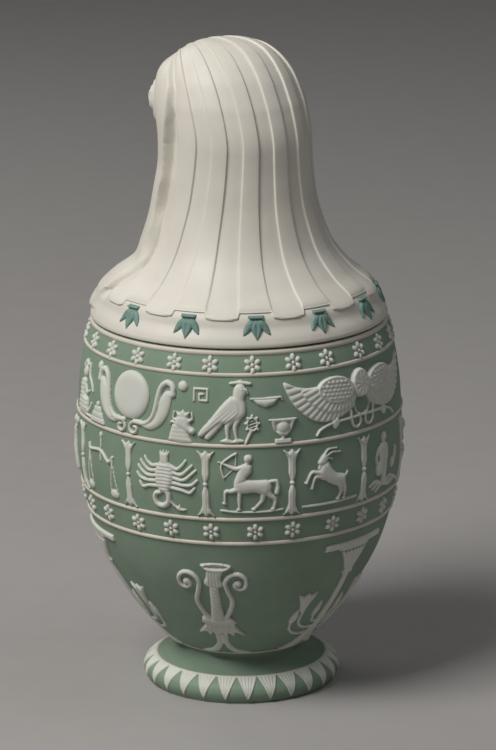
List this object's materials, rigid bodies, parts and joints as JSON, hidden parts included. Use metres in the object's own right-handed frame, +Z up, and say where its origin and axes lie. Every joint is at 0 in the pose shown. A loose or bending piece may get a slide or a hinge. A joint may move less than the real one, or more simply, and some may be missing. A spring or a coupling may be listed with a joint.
{
  "type": "canopic jar",
  "caption": "Footed stoneware vase in canopic jar form: green body with white relief bands, and a lift-off white cover shaped as a head in a pleated headcloth.",
  "frame": {"origin": "on the table, under the middle of the jar's foot", "axes": "+Z up along the jar's axis; the cover's face looks towards -Y and the back of its headcloth towards +Y; +X completes the right-handed frame"},
  "size_m": [0.1208, 0.1207, 0.2406],
  "materials": {
    "green_stoneware": "matt",
    "white_stoneware": "matt",
    "cover_stoneware": "satin",
    "leaf_green": "matt"
  },
  "bodies": {
    "root": {"jar": "green_stoneware", "lid": "cover_stoneware"}
  },
  "joints": []
}
